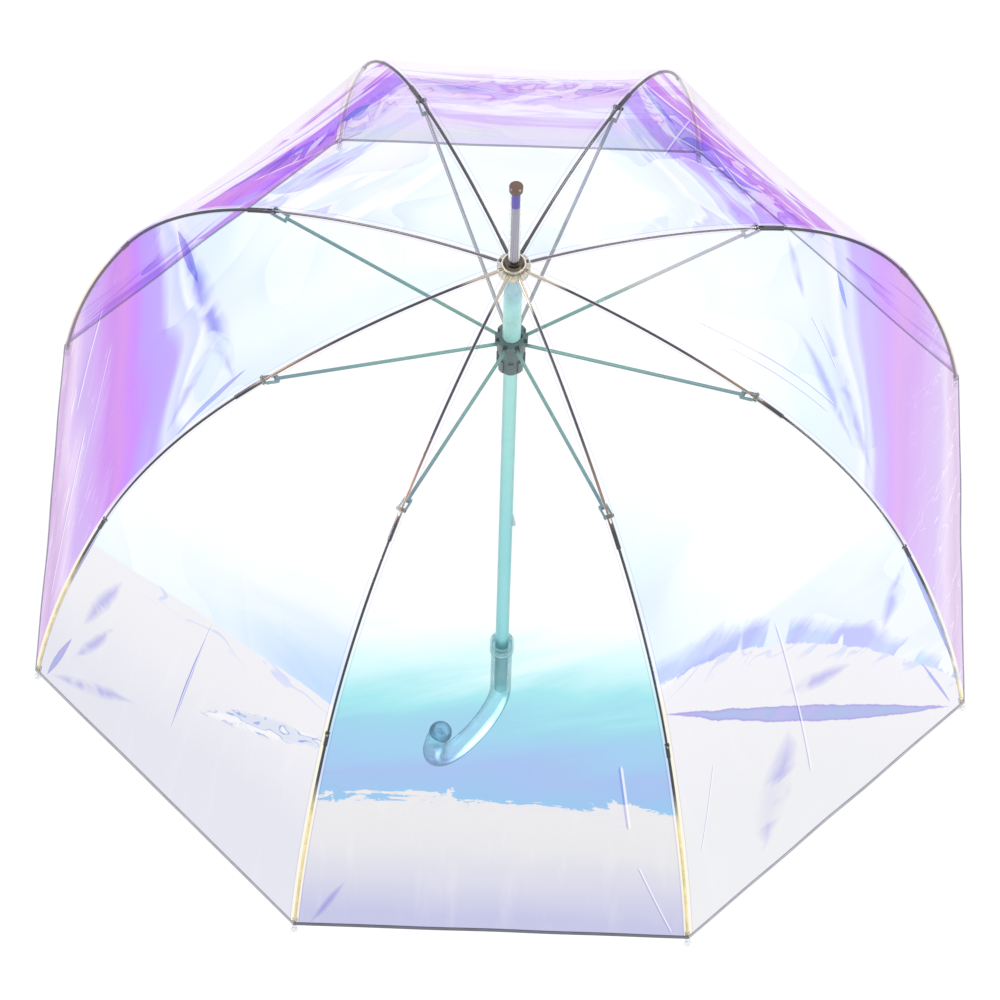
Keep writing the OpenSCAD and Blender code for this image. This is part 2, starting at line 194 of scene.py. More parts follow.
def scaled(colour, k):
    """A colour made lighter or darker, never past white."""
    return tuple(min(1, c * k) for c in colour)


class Nodes:
    """A short way to write a node material."""

    def __init__(self, name):
        self.mat = bpy.data.materials.new(name)
        self.mat.use_nodes = True
        self.tree = self.mat.node_tree
        self.tree.nodes.clear()

    def add(self, kind, **sockets):
        """A new node: i0, i1 and so on name its sockets by number, other names by their label."""
        props = sockets.pop("props", {})
        node = self.tree.nodes.new(kind)
        for k, v in props.items():
            setattr(node, k, v)
        for k, v in sockets.items():
            key = int(k[1:]) if k[0] == "i" and k[1:].isdigit() else k.replace("_", " ")
            self.put(node.inputs[key], v)
        return node

    def put(self, socket, v):
        if isinstance(v, bpy.types.NodeSocket):
            self.tree.links.new(v, socket)
        elif isinstance(v, bpy.types.Node):
            self.tree.links.new(v.outputs[0], socket)
        else:
            socket.default_value = v

    def math(self, op, a, b=0.0, clamp=False):
        props = {"operation": op, "use_clamp": clamp}
        return self.add("ShaderNodeMath", props=props, i0=a, i1=b).outputs[0]

    def plus(self, a, b, clamp=False):
        return self.math("ADD", a, b, clamp)

    def less(self, a, b):
        return self.math("SUBTRACT", a, b)

    def times(self, a, b):
        return self.math("MULTIPLY", a, b)

    def size(self, a):
        return self.math("ABSOLUTE", a)

    def ramp(self, value, stops):
        node = self.add("ShaderNodeValToRGB", Fac=value)
        elements = node.color_ramp.elements
        while len(elements) > 1:
            elements.remove(elements[-1])
        elements[0].position, elements[0].color = stops[0][0], (*stops[0][1], 1)
        for at, colour in stops[1:]:
            elements.new(at).color = (*colour, 1)
        return node.outputs[0]

    def span(self, value, low, high, to_low=0.0, to_high=1.0):
        return self.add("ShaderNodeMapRange", Value=value, From_Min=low, From_Max=high,
                        To_Min=to_low, To_Max=to_high).outputs[0]

    def noise(self, vector, scale, detail=3.0, rough=0.5, distort=0.0):
        return self.add("ShaderNodeTexNoise", Vector=vector, Scale=scale, Detail=detail,
                        Roughness=rough, Distortion=distort).outputs["Fac"]

    def blend(self, fac, a, b, mode="MIX"):
        node = self.add("ShaderNodeMix", props={"data_type": "RGBA", "blend_type": mode}, Factor=fac)
        for socket, colour in ((node.inputs[6], a), (node.inputs[7], b)):
            self.put(socket, (*colour, 1) if isinstance(colour, tuple) else colour)
        return node.outputs[2]

    def shade(self, fac, colour, by):
        return self.blend(fac, colour, by, "MULTIPLY")

    def field(self, name):
        """The three numbers kept under a name on every point of a mesh."""
        node = self.add("ShaderNodeAttribute", props={"attribute_name": name})
        return self.add("ShaderNodeSeparateXYZ", Vector=node.outputs["Vector"]).outputs

    def stretched(self, vector, scale, turn=0.0):
        """Coordinates turned, then scaled, so a pattern is drawn out along the turned direction."""
        return self.add("ShaderNodeMapping", props={"vector_type": "TEXTURE"}, Vector=vector,
                        Rotation=(0, 0, turn), Scale=tuple(1 / k for k in scale)).outputs[0]

    def place(self):
        """The point's own coordinates and its height, in the part's frame."""
        at = self.add("ShaderNodeTexCoord").outputs["Object"]
        return at, self.add("ShaderNodeSeparateXYZ", Vector=at).outputs[2]

    def bump(self, strength, distance, height):
        return self.add("ShaderNodeBump", Strength=strength, Distance=distance, Height=height).outputs[0]

    def facing(self, normal):
        return self.add("ShaderNodeLayerWeight", Blend=0.5, Normal=normal).outputs["Facing"]

    def out(self, shader):
        self.add("ShaderNodeOutputMaterial", Surface=shader)
        return self.mat


# ---------------------------------------------------------------- film material
# Pressed marks: how many of each kind a gore can have, and how far its line strays, in half widths
MARK_KINDS = {"blade": (4, 0.8), "crease": (3, 0.0), "smear": (3, 1.1), "crinkle": (1, 1.8)}


class Film(Nodes):
    """Clear film with pressed marks and an iridescent coat. Its colour follows how obliquely it is seen."""

    def __init__(self):
        super().__init__("iridescent_film")
        self.uv = self.add("ShaderNodeUVMap", props={"uv_map": "film"}).outputs[0]
        self.down, self.glow, self.calm = self.field("zone")
        self.seam, self.lace, self.dusk = self.field("trim")
        self.rich, self.crescent, self.lift = self.field("tone")
        self.climb, self.blue, _ = self.field("reach")
        self.lively = self.span(self.calm, 0.0, 1.0, 1.0, 0.12)
        self.loose = self.less(1.0, self.calm)
        self.soft = self.noise(self.uv, 8.0, 2.0, 0.5, 0.5)
        self.across = self.drawn((0.12, 1.0, 1.0), 0.12, 26.0, 3.0, 0.55, 0.35)
        self.swirl = self.drawn((0.30, 1.6, 1.0), -0.30, 11.0, 4.0, 0.6, 0.5)
        self.aside = self.facing(self.relief())
        facets = self.drawn((0.6, 1.0, 1.0), 0.7, 11.0, 1.0, 0.4, 0.25)
        self.facet = self.math("FRACT", self.times(facets, 4.0))
        self.value = self.turned_value()
        self.edge = self.ragged_edge()
        self.below = self.span(self.edge, -0.0006, 0.0006)
        self.above = self.less(1.0, self.below)

    def drawn(self, scale, turn, *noise):
        """Noise drawn out along a turned direction of the film."""
        return self.noise(self.stretched(self.uv, scale, turn), *noise)

    def relief(self):
        """Soft folds, cross ripples, dents and a fine grain, almost flat where the gore is calm."""
        cells = self.add("ShaderNodeTexVoronoi", props={"feature": "F1"}, Scale=15.0,
                         Vector=self.stretched(self.uv, (1.0, 0.55, 1.0), 0.5)).outputs["Distance"]
        fine = self.noise(self.uv, 70.0, 3.0, 0.55, 0.3)
        height = self.plus(self.times(self.soft, 0.5), self.times(self.across, 0.35))
        height = self.plus(height, self.times(cells, 0.10))
        height = self.plus(height, self.times(fine, 0.02))
        return self.bump(self.times(self.lively, 0.34), 0.006, height)

    def turned_value(self):
        """Place on the colour scale: how oblique the film is, shifted by its ripples, facets and lift."""
        shift = self.times(self.times(self.less(self.across, 0.5), 0.34), self.lively)
        step = self.times(self.less(self.facet, 0.5), self.times(self.lively, 0.05))
        raised = self.times(self.lift, self.span(self.aside, 0.68, 0.54))
        return self.plus(self.plus(self.aside, raised), self.plus(shift, step), clamp=True)

    def ragged_edge(self):
        """Height below the line where the neutral part begins, torn by noise and spikes."""
        rag = self.less(self.drawn((0.28, 1.0, 1.0), 0.0, 55.0, 6.0, 0.72, 0.5), 0.5)
        spikes = self.span(self.drawn((1.0, 0.18, 1.0), -0.2, 34.0, 3.0, 0.6), 0.60, 0.72, 0.0, 0.022)
        ragged = self.plus(self.times(rag, 0.060), self.times(spikes, self.glow))
        return self.plus(self.down, self.times(ragged, self.less(1.15, self.lace)))

    def coat(self):
        """Colour by angle: white, pale aqua, then violet and pink with a hard edge."""
        value = self.value
        tint = self.ramp(value, [
            (0.00, WHITE), (0.12, (0.995, 1.0, 1.0)), (0.25, (0.94, 0.98, 1.0)), (0.33, (0.89, 0.96, 1.0)),
            (0.40, (0.84, 0.91, 1.0)), (0.455, (0.80, 0.87, 0.99)), (0.49, (0.92, 0.95, 1.0)),
            (0.502, (0.64, 0.69, 0.97)), (0.53, (0.76, 0.78, 0.98)), (0.545, (0.60, 0.55, 0.95)),
            (0.556, (0.54, 0.38, 0.94)), (0.60, (0.50, 0.33, 0.94)), (0.64, (0.58, 0.22, 0.96)),
            (0.69, (0.64, 0.24, 0.80)), (0.725, (0.57, 0.21, 0.82)), (0.76, (0.60, 0.32, 0.86)),
            (0.80, (0.58, 0.38, 0.84)), (0.84, (0.78, 0.58, 0.88)), (0.88, (0.58, 0.34, 0.68)),
            (0.93, (0.68, 0.45, 0.76)), (1.00, (0.80, 0.62, 0.80))])
        # Painted highlights: white streaks stand for glints along the film's folds, and the film turns pale
        # high on the colour scale
        pale = self.span(self.drawn((0.16, 1.0, 1.0), 0.12, 15.0, 4.0, 0.55, 0.6), 0.565, 0.58, 0.0, 0.9)
        pale = self.math("MAXIMUM", pale, self.span(value, 0.735, 0.775, 0.0, 0.92))
        tint = self.blend(self.times(pale, self.loose), tint, (0.985, 0.965, 0.992))
        crumple = self.drawn((0.45, 1.0, 1.0), 0.3, 21.0, 2.0, 0.5, 1.0)
        spots = self.ramp(crumple, [
            (0.40, WHITE), (0.435, (0.95, 0.84, 0.985)), (0.455, (0.80, 0.76, 1.0)), (0.47, WHITE),
            (0.50, (0.97, 0.88, 0.98)), (0.53, (0.86, 0.80, 1.0)), (0.545, WHITE),
            (0.60, (0.95, 0.90, 1.0))])
        spotted = self.times(self.span(value, 0.46, 0.56), self.span(value, 0.80, 0.70))
        tint = self.shade(self.times(spotted, self.loose), tint, spots)
        # Painted shade: each facet darkens toward pale blue, the shading of crumpled folds
        folds = self.times(self.times(self.facet, self.facet), self.span(value, 0.20, 0.36))
        tint = self.shade(self.times(folds, self.span(value, 0.60, 0.54)), tint, (0.90, 0.94, 0.997))
        # Painted highlights: thin pale lines on calm, oblique film stand for glints
        glint_lines = self.size(self.less(self.drawn((0.10, 1.0, 1.0), 0.72, 70.0, 2.0, 0.5, 0.2), 0.57))
        glint_lines = self.times(self.span(glint_lines, 0.009, 0.003, 0.0, 0.8), self.span(value, 0.70, 0.86))
        tint = self.blend(self.rich, WHITE, tint)
        return self.blend(self.times(glint_lines, self.calm), tint, (0.97, 0.95, 0.98))

    def aqua_band(self, tint):
        """The aqua to blue glow that ends on the ragged edge, with a crescent of lilac along it."""
        stir = self.less(self.swirl, 0.5)
        rise = self.plus(self.times(self.down, self.climb), 1.0, clamp=True)
        rise = self.plus(rise, self.times(stir, 0.52))
        aqua = self.ramp(rise, [
            (0.0, WHITE), (0.10, (0.94, 0.99, 1.0)), (0.27, (0.68, 0.94, 0.95)), (0.42, (0.37, 0.79, 0.83)),
            (0.54, (0.34, 0.66, 0.80)), (0.70, (0.36, 0.59, 0.83)), (0.84, (0.38, 0.52, 0.82)),
            (1.0, (0.33, 0.56, 0.81))])
        bluer = self.ramp(rise, [
            (0.0, WHITE), (0.25, (0.95, 0.98, 1.0)), (0.5, (0.84, 0.90, 0.99)), (0.75, (0.60, 0.75, 0.97)),
            (1.0, (0.40, 0.60, 0.95))])
        strength = self.times(self.times(self.glow, self.span(self.value, 0.46, 0.26)), self.above)
        tint = self.shade(strength, tint, self.blend(self.blue, aqua, bluer))
        torn = self.plus(self.edge, self.times(stir, 0.07))
        crest = self.times(self.times(self.span(torn, -0.030, -0.013), self.above), self.crescent)
        gaps = self.span(self.drawn((1.0, 0.4, 1.0), 0.75, 24.0, 2.0, 0.5, 0.3), 0.60, 0.62)
        crest = self.times(crest, self.less(1.0, gaps))
        crest_tone = self.ramp(self.swirl, [(0.38, (0.62, 0.82, 0.96)), (0.5, (0.60, 0.64, 0.95)),
                                            (0.6, (0.52, 0.50, 0.92))])
        return self.shade(self.times(crest, 0.8), tint, crest_tone)

    def neutral_part(self, tint):
        """Grey to lilac film below the ragged edge, a painted reflection of the table that darkens toward
        the hem, with faint wisps and a frilled blue outline.
        """
        # Painted reflection of the table: greyer and darker the deeper below the edge
        depth = self.plus(self.times(self.down, 5.0), self.times(self.soft, 0.2))
        dim_reflection = self.ramp(depth, [(0.0, (0.81, 0.79, 0.795)), (0.35, (0.77, 0.765, 0.78)),
                                (0.58, (0.66, 0.655, 0.77)), (0.8, (0.53, 0.53, 0.74))])
        light = self.blend(self.span(depth, 0.0, 0.9), (0.87, 0.86, 0.90), (0.82, 0.82, 0.83))
        neutral = self.blend(self.dusk, light, dim_reflection)
        wisps = self.drawn((1.0, 0.14, 1.0), 0.0, 55.0, 3.0, 0.6)
        neutral = self.blend(self.span(wisps, 0.54, 0.74, 0.0, 0.12), neutral, (0.97, 0.965, 0.97))
        contour = self.size(self.less(self.drawn((0.28, 1.0, 1.0), 0.0, 38.0, 2.0, 0.5, 0.7), 0.5))
        near = self.times(self.span(self.edge, 0.020, 0.008), self.lace)
        frill = self.times(self.span(contour, 0.022, 0.010), near)
        neutral = self.blend(self.times(frill, 0.55), neutral, (0.52, 0.60, 0.93))
        return self.blend(self.times(self.below, self.span(self.value, 0.70, 0.58)), tint, neutral)

    def blade(self, tint, inside, along, kept):
        """A sharp violet blade, darker along its outline."""
        tone = self.ramp(self.plus(self.swirl, self.times(along, 0.10)), [
            (0.36, (0.58, 0.49, 0.90)), (0.46, (0.42, 0.54, 0.88)), (0.58, (0.46, 0.50, 0.90)),
            (0.66, (0.60, 0.50, 0.92))])
        tone = self.blend(self.span(inside, 0.40, 0.10), tone, (0.42, 0.35, 0.84))
        mask = self.times(self.span(inside, 0.0, 0.12), kept)
        return self.shade(self.times(mask, 0.9), tint, tone)

    def crinkle(self, tint, inside, kept):
        """A patch of knotted outlines with a pale blue wash between them."""
        mask = self.times(self.span(inside, 0.0, 0.35), kept)
        knot = self.drawn((0.40, 1.0, 1.0), -0.5, 56.0, 2.0, 0.5, 1.1)
        net = self.size(self.less(self.math("FRACT", self.times(knot, 5.0)), 0.5))
        ink = self.blend(self.span(self.value, 0.42, 0.55), (0.42, 0.56, 0.90), (0.78, 0.55, 0.93))
        tint = self.shade(self.times(self.span(net, 0.12, 0.05), mask), tint, ink)
        wash = self.times(self.span(knot, 0.50, 0.53), mask)
        tint = self.shade(self.times(wash, 0.5), tint, (0.72, 0.80, 0.97))
        return self.blend(self.times(self.span(knot, 0.47, 0.44, 0.0, 0.5), mask), tint, (0.95, 0.94, 0.97))

    def smear(self, tint, inside, kept, sway):
        """A soft lilac smear."""
        mask = self.times(self.span(inside, -0.05, 0.8), kept)
        mask = self.times(mask, self.span(sway, -0.10, 0.0, 0.25, 0.9))
        return self.shade(mask, tint, (0.60, 0.58, 0.93))

    def crease(self, tint, lens, beside, kept):
        """The violet line beside a crease."""
        inside = self.less(lens, self.size(self.less(beside, 1.6)))
        mask = self.times(self.span(inside, 0.0, 0.4), kept)
        return self.shade(self.times(mask, 0.6), tint, (0.52, 0.44, 0.86))

    def marks(self, tint):
        """All pressed marks, the white lines of the creases last: milky creased film that is also a painted
        highlight.
        """
        wobble = self.less(self.noise(self.uv, 34.0, 4.0, 0.65, 0.3), 0.5)
        sway = self.less(self.noise(self.uv, 24.0, 2.0, 0.5, 0.8), 0.5)
        white = 0.0
        for kind, (count, stray) in MARK_KINDS.items():
            for i in range(count):
                beside, along, kept = self.field(f"{kind}_{i}")
                lens = self.less(1.0, self.times(along, along))
                bent = self.times(sway if kind == "smear" else wobble, stray)
                off = self.size(self.plus(beside, bent))
                inside = self.less(lens, off)
                if kind == "blade":
                    tint = self.blade(tint, inside, along, kept)
                elif kind == "crinkle":
                    tint = self.crinkle(tint, inside, kept)
                elif kind == "smear":
                    tint = self.smear(tint, inside, kept, sway)
                else:
                    full = self.math("MINIMUM", 1.0, self.times(lens, 4.0))
                    tint = self.crease(tint, full, beside, kept)
                    # Painted highlight: the white line along each crease, over film that creasing turns
                    # milky
                    line = self.times(self.span(self.less(full, off), 0.0, 0.4), 0.7)
                    white = self.math("MAXIMUM", white, line)
        return self.blend(white, tint, (0.97, 0.97, 0.975))

    def welds(self, tint):
        """The welded seam over each rib, gold toward the hem, with a faint rim."""
        weld = self.span(self.down, -0.03, 0.01, 0.35, 0.85)
        weld = self.times(self.span(self.seam, 0.0040, 0.0035), weld)
        rim = self.times(self.span(self.seam, 0.0050, 0.0043), self.span(self.seam, 0.0036, 0.0041))
        gilt = self.span(self.down, 0.0, 0.02, 0.0, 0.7)
        tint = self.blend(weld, tint, self.blend(gilt, (0.97, 0.97, 0.975), (0.97, 0.90, 0.62)))
        return self.shade(self.times(rim, 0.4), tint, (0.50, 0.45, 0.62))

    def material(self):
        tint = self.welds(self.marks(self.neutral_part(self.aqua_band(self.coat()))))
        clear = self.add("ShaderNodeBsdfTransparent", Color=tint)
        gloss = self.add("ShaderNodeBsdfAnisotropic", Color=(1, 0.985, 1, 1), Roughness=0.09)
        amount = self.plus(self.times(self.math("POWER", self.aside, 3.0), 0.26), 0.035)
        return self.out(self.add("ShaderNodeMixShader", Fac=amount, i1=clear, i2=gloss))


# ---------------------------------------------------------------- metal, plastic and acrylic
# Grazing light on a polished rod, from its middle to its sides
ROD_SHADE = [(0.0, (0.95, 0.95, 0.95)), (0.48, WHITE), (0.56, (0.86, 0.86, 0.86)),
             (0.70, (0.36, 0.36, 0.37)), (0.86, (0.75, 0.75, 0.77))]


def metal(name, colour, rough, tint=None, edge=0.8, zones=(), rim=None, polish=1.0):
    """Drawn or polished metal: grain runs one way, with faint handling marks. Zones give the colour above a
    height. Edge is how strongly the painted shade of ROD_SHADE darkens it. Rim is a painted reflection: the
    colour that a polished rod reflects along its sides, and the facing where it starts and is full."""
    n = Nodes(name)
    at, z = n.place()
    grain = n.add("ShaderNodeMapping", Vector=at, Scale=(1, 1, 0.04)).outputs[0]
    lines = n.noise(grain, 880.0, 4.0, 0.6)
    marks = n.noise(at, 45.0, 4.0, 0.6, 0.5)
    rough_at = n.plus(n.span(marks, 0.3, 0.75, rough * 0.8, rough * 1.35), n.times(lines, 0.05))
    col = n.ramp(marks, [(0.3, tint or scaled(colour, 0.86)), (0.7, colour)])
    for low, high, tone in zones:
        col = n.blend(n.span(z, low, high), col, tone)
    bent = n.bump(0.05, 0.0004, lines)
    facing = n.facing(bent)
    # Painted shade along the rod's sides, by facing
    col = n.shade(edge, col, n.ramp(facing, ROD_SHADE))
    # Painted reflection along the rod's sides
    if rim:
        tone, start, full = rim
        col = n.blend(n.span(facing, start, full), col, tone)
    return n.out(n.add("ShaderNodeBsdfPrincipled", Base_Color=col, Metallic=polish, Roughness=rough_at,
                       Normal=bent))


def glinting_rod(name, dark, gold, low, high):
    """Drawn steel with a painted gold glint below a height and a painted reflection along its sides."""
    n = Nodes(name)
    at, z = n.place()
    marks = n.noise(at, 60.0, 4.0, 0.6, 0.5)
    # Painted glint: gold below the height
    col = n.blend(n.span(z, low, high), gold, dark)
    col = n.blend(n.span(marks, 0.4, 0.7, 0.0, 0.35), col, scaled(dark, 0.6))
    bent = n.bump(0.08, 0.0004, marks)
    # Painted reflection along its sides
    col = n.blend(n.span(n.facing(bent), 0.58, 0.74, 0.0, 0.8), col, PAINTED_STEEL_REFLECTION)
    rough = n.span(marks, 0.3, 0.7, 0.26, 0.42)
    return n.out(n.add("ShaderNodeBsdfPrincipled", Base_Color=col, Metallic=0.3, Roughness=rough,
                       Normal=bent))


def plastic(name, colour, rough, clear=0.0, grain=900.0):
    """Moulded plastic: fine grain, slight cloudiness and soft wear on the sheen."""
    n = Nodes(name)
    at, _ = n.place()
    cloud = n.noise(at, 60.0, 3.0, 0.55)
    fine = n.noise(at, grain, 2.0, 0.5)
    col = n.ramp(cloud, [(0.3, scaled(colour, 0.86)), (0.7, scaled(colour, 1.08))])
    rough_at = n.span(cloud, 0.3, 0.7, rough * 0.85, rough * 1.2)
    bent = n.bump(0.12, 0.0003, fine)
    return n.out(n.add("ShaderNodeBsdfPrincipled", Base_Color=col, Roughness=rough_at, Normal=bent,
                       Transmission_Weight=clear, IOR=1.47))


# Normal direction on which the crook shows its painted glint
GLINT_SIDE = (0.87, -0.23, 0.43)


def painted_glint_light(n, z, flow, strength, top):
    """A painted glint: emission along one side of the crook, below a height and only on the outer face."""
    surface = n.add("ShaderNodeNewGeometry").outputs
    turned = n.add("ShaderNodeVectorMath", props={"operation": "DOT_PRODUCT"}, i0=surface["Normal"],
                   i1=GLINT_SIDE).outputs["Value"]
    glint_strength = n.times(n.span(turned, 0.86, 0.98, 0.0, strength), n.less(1.0, surface["Backfacing"]))
    glint_strength = n.times(glint_strength, n.span(flow, 0.30, 0.45, 0.6, 1.0))
    glint_strength = n.times(glint_strength, n.span(z, top, top - 0.01))
    return n.add("ShaderNodeEmission", Color=(1, 1, 1, 1), Strength=glint_strength)


def acrylic(name, middle, rim, solid, core=None, glint=0.0):
    """Clear cast acrylic: painted bright down the middle and painted shade toward its edges, with faint
    flow lines.
    Above a height it takes up the colour of the shaft inside it (core: the height, the colour in the middle
    and the colour toward the sides), and one side of the crook shows a painted glint that glows (glint)."""
    n = Nodes(name)
    at, z = n.place()
    flow = n.noise(n.stretched(at, (1, 1, 0.3)), 50.0, 2.0, 0.5, 0.4)
    bent = n.bump(0.05, 0.0006, flow)
    facing = n.facing(bent)
    # Painted shade: the colour darkens toward the edges with how obliquely the acrylic is seen
    depth = n.plus(facing, n.span(flow, 0.3, 0.7, -0.05, 0.05))
    between = tuple(m * 0.6 + r * 0.4 for m, r in zip(middle, rim))
    col = n.ramp(depth, [(0.0, middle), (0.22, between), (0.5, rim), (0.75, scaled(rim, 0.72)),
                         (1.0, scaled(rim, 0.4))])
    if core:
        height, inner, outer = core
        lens = n.blend(n.span(facing, 0.56, 0.66), inner, outer)
        filled = n.times(n.span(z, height, height + 0.006), n.span(facing, 0.94, 0.86))
        col = n.blend(filled, col, lens)
    clear = n.add("ShaderNodeBsdfTransparent", Color=col)
    cast = n.add("ShaderNodeBsdfPrincipled", Base_Color=col, Roughness=n.span(flow, 0.3, 0.7, 0.03, 0.08),
                 Normal=bent, Transmission_Weight=1.0, IOR=1.3)
    sheen = n.add("ShaderNodeBsdfAnisotropic", Color=(1, 1, 1, 1), Roughness=0.06, Normal=bent)
    body = n.add("ShaderNodeMixShader", i0=solid, i1=clear, i2=cast)
    fresnel = n.add("ShaderNodeFresnel", IOR=1.45, Normal=bent).outputs[0]
    coat = n.add("ShaderNodeMixShader", Fac=n.times(fresnel, 0.7), i1=body, i2=sheen)
    if glint:
        coat = n.add("ShaderNodeAddShader", i0=coat, i1=painted_glint_light(n, z, flow, glint, core[0]))
    return n.out(coat)


# ---------------------------------------------------------------- looks of the CAD nodes
# Heights where a colour changes: the end of the shaft in the grip, the floor of the cup, the step of the
# top cap, the foot of the ferrule, its top, and how far a stretcher climbs from the runner to its rib
SHAFT_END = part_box("shaft")[0][2]
CUP_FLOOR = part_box("handle_collar")[0][2] + 0.004
CAP_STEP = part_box("top_cap")[0][2] + 0.0016
FOOT_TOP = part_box("top_cap")[1][2] + 0.002
ROD_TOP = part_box("ferrule_tip")[0][2]
BEND_Z, ROOT_Z = JOINT[1], ROOT[1]
CLIMB = ROOT_Z - BEND_Z
# Where the shaft turns from blue to green, a lower rib from its painted gold glint to steel, a pale
# stretcher from teal to the sand of its painted sheen, and where the violet band under the ferrule's tip
# begins
SHAFT_TURN = (0.25, 0.52)
GLINT_TURN = (0.383, 0.422)
SHEEN_TURN = (BEND_Z - 0.65 * CLIMB, BEND_Z - 0.45 * CLIMB)
BAND_START = ROD_TOP - 0.020

# Painted reflection along the sides of polished steel rods
PAINTED_STEEL_REFLECTION = (0.86, 0.87, 0.86)
DARK_STEEL = (0.06, 0.058, 0.058)
TEAL_STEEL = (0.19, 0.36, 0.30)

FILM = Film().material()
# Inside the clear grip, below the floor of the cup, the shaft's near-white colour is painted light against
# the shade it lies in
SHAFT = metal("polished_shaft", (0.93, 1.0, 1.0), 0.3, tint=(0.84, 0.97, 0.97), edge=0.4,
              zones=[(CUP_FLOOR, CUP_FLOOR + 0.006, (0.29, 0.68, 0.69)), (*SHAFT_TURN, (0.41, 0.75, 0.68))])
# The cream along the ferrule's sides is a painted reflection
FERRULE = metal("chrome_painted_cream_reflection", (0.14, 0.12, 0.10), 0.16, edge=0.0,
                rim=((1.0, 0.97, 0.88), 0.56, 0.68),
                zones=[(FOOT_TOP, FOOT_TOP + 0.002, (0.42, 0.40, 0.43)),
                       (BAND_START, BAND_START + 0.001, (0.18, 0.14, 0.42))])
DARK_CAP = metal("dark_cap", (0.23, 0.16, 0.125), 0.2)
CAP = metal("champagne_cap", (0.95, 0.90, 0.76), 0.16, edge=0.5,
            zones=[(CAP_STEP, CAP_STEP + 0.0002, (0.15, 0.125, 0.09))])
# The crown's light cream colour is a painted highlight
CROWN_PAINTED_HIGHLIGHT = metal("crown_painted_highlight", (0.92, 0.86, 0.68), 0.2, tint=(0.50, 0.42, 0.24), edge=0.6, polish=0.6)
# Front ribs: the copper band at the bend and the gold band near the root are painted glints, and the pale
# steel along their sides is a painted reflection
RIB = metal("rib_steel", DARK_STEEL, 0.26, edge=0.0, rim=(PAINTED_STEEL_REFLECTION, 0.26, 0.52),
            zones=[(BEND_Z - 0.004, BEND_Z + 0.004, (0.34, 0.22, 0.13)),
                   (BEND_Z + 0.010, BEND_Z + 0.026, DARK_STEEL),
                   (ROOT_Z - 0.0030, ROOT_Z - 0.0012, (0.62, 0.54, 0.36))])
RIB_BACK = metal("rib_back_steel", (0.10, 0.095, 0.085), 0.26)
# Paler copy of rib steel with a bright rim: painted sheen and a painted reflection
RIB_PALE_PAINTED_SHEEN = metal("rib_pale_steel_painted_sheen", (0.17, 0.14, 0.135), 0.24, edge=0.0,
                 rim=((0.88, 0.86, 0.85), 0.24, 0.46))
# Pale copy of rib steel: painted sheen
RIB_LOW_PAINTED_SHEEN = metal("rib_low_steel_painted_sheen", (0.72, 0.71, 0.74), 0.24, edge=0.4)
RIB_GOLD_GLINT = glinting_rod("rib_gold_glint", (0.05, 0.055, 0.05), (1.0, 0.93, 0.60), *GLINT_TURN)
STRETCHER = metal("stretcher_steel", TEAL_STEEL, 0.4, edge=0.3, polish=0.35)
# Grey and pale copies of stretcher steel: painted sheen, paler toward the rib on the pale one
STRETCHER_GREY_PAINTED_SHEEN = metal("stretcher_grey_steel_painted_sheen", (0.36, 0.36, 0.35), 0.35, edge=0.5, polish=0.5)
STRETCHER_PALE_PAINTED_SHEEN = metal("stretcher_pale_steel_painted_sheen", TEAL_STEEL, 0.4, edge=0.3, polish=0.35,
                       zones=[(*SHEEN_TURN, (0.60, 0.56, 0.50))])
SPRING = metal("spring_steel", (0.42, 0.62, 0.63), 0.22)
HUB = plastic("hub_plastic", (0.07, 0.115, 0.11), 0.32)
SLEEVE = plastic("sleeve_plastic", (0.40, 0.72, 0.61), 0.3)
TAPE = plastic("hem_tape", (0.36, 0.36, 0.37), 0.45, grain=500.0)
# Darker copy of the hem tape: painted shade on the front gore
TAPE_PAINTED_SHADE = plastic("hem_tape_painted_shade", (0.13, 0.13, 0.15), 0.4, grain=500.0)
TIP = plastic("clear_tip", (0.90, 0.92, 0.93), 0.16, clear=0.7)
BALL = acrylic("end_ball", (0.88, 0.93, 0.96), (0.50, 0.60, 0.68), 0.3)
ACRYLIC = acrylic("clear_acrylic", WHITE, (0.93, 0.96, 0.98), 0.15, glint=2.0,
                  core=(SHAFT_END, (0.72, 0.90, 0.93), (0.64, 0.79, 0.81)))
COLLAR = acrylic("clear_collar", (0.86, 0.96, 0.97), (0.74, 0.87, 0.90), 0.0)

LOOK = {"shaft": SHAFT, "ferrule": FERRULE, "ferrule_tip": DARK_CAP, "top_cap": CAP, "crown": CROWN_PAINTED_HIGHLIGHT,
        "stop_sleeve": SLEEVE, "runner": HUB, "catch_top": SPRING, "catch_bottom": SPRING,
        "handle": ACRYLIC, "handle_collar": COLLAR, "handle_end": BALL,
        "rib_upper": RIB, "rib_mid": RIB, "rib_lower": RIB_GOLD_GLINT, "rib_tip": TIP, "stretcher": STRETCHER,
        "canopy_panel": FILM}
# Ribs 2 to 5 and stretchers 2 to 4 lie away from the front, where the coated film dulls or pales them: the
# dull copies of steel lack the painted rims of the front ribs, and the greyer and paler copies are painted
# sheen.
OWN_LOOK = {"rib_upper_2": RIB_PALE_PAINTED_SHEEN, "rib_upper_3": RIB_BACK,
            "rib_upper_4": RIB_BACK, "rib_upper_5": RIB_PALE_PAINTED_SHEEN,
            "rib_mid_2": RIB_BACK, "rib_mid_3": RIB_BACK, "rib_mid_4": RIB_BACK, "rib_mid_5": RIB_BACK,
            "rib_lower_2": RIB_BACK, "rib_lower_3": RIB_LOW_PAINTED_SHEEN,
            "rib_lower_4": RIB_LOW_PAINTED_SHEEN, "rib_lower_5": RIB_BACK,
            "stretcher_2": STRETCHER_PALE_PAINTED_SHEEN, "stretcher_3": STRETCHER_GREY_PAINTED_SHEEN, "stretcher_4": STRETCHER_GREY_PAINTED_SHEEN}
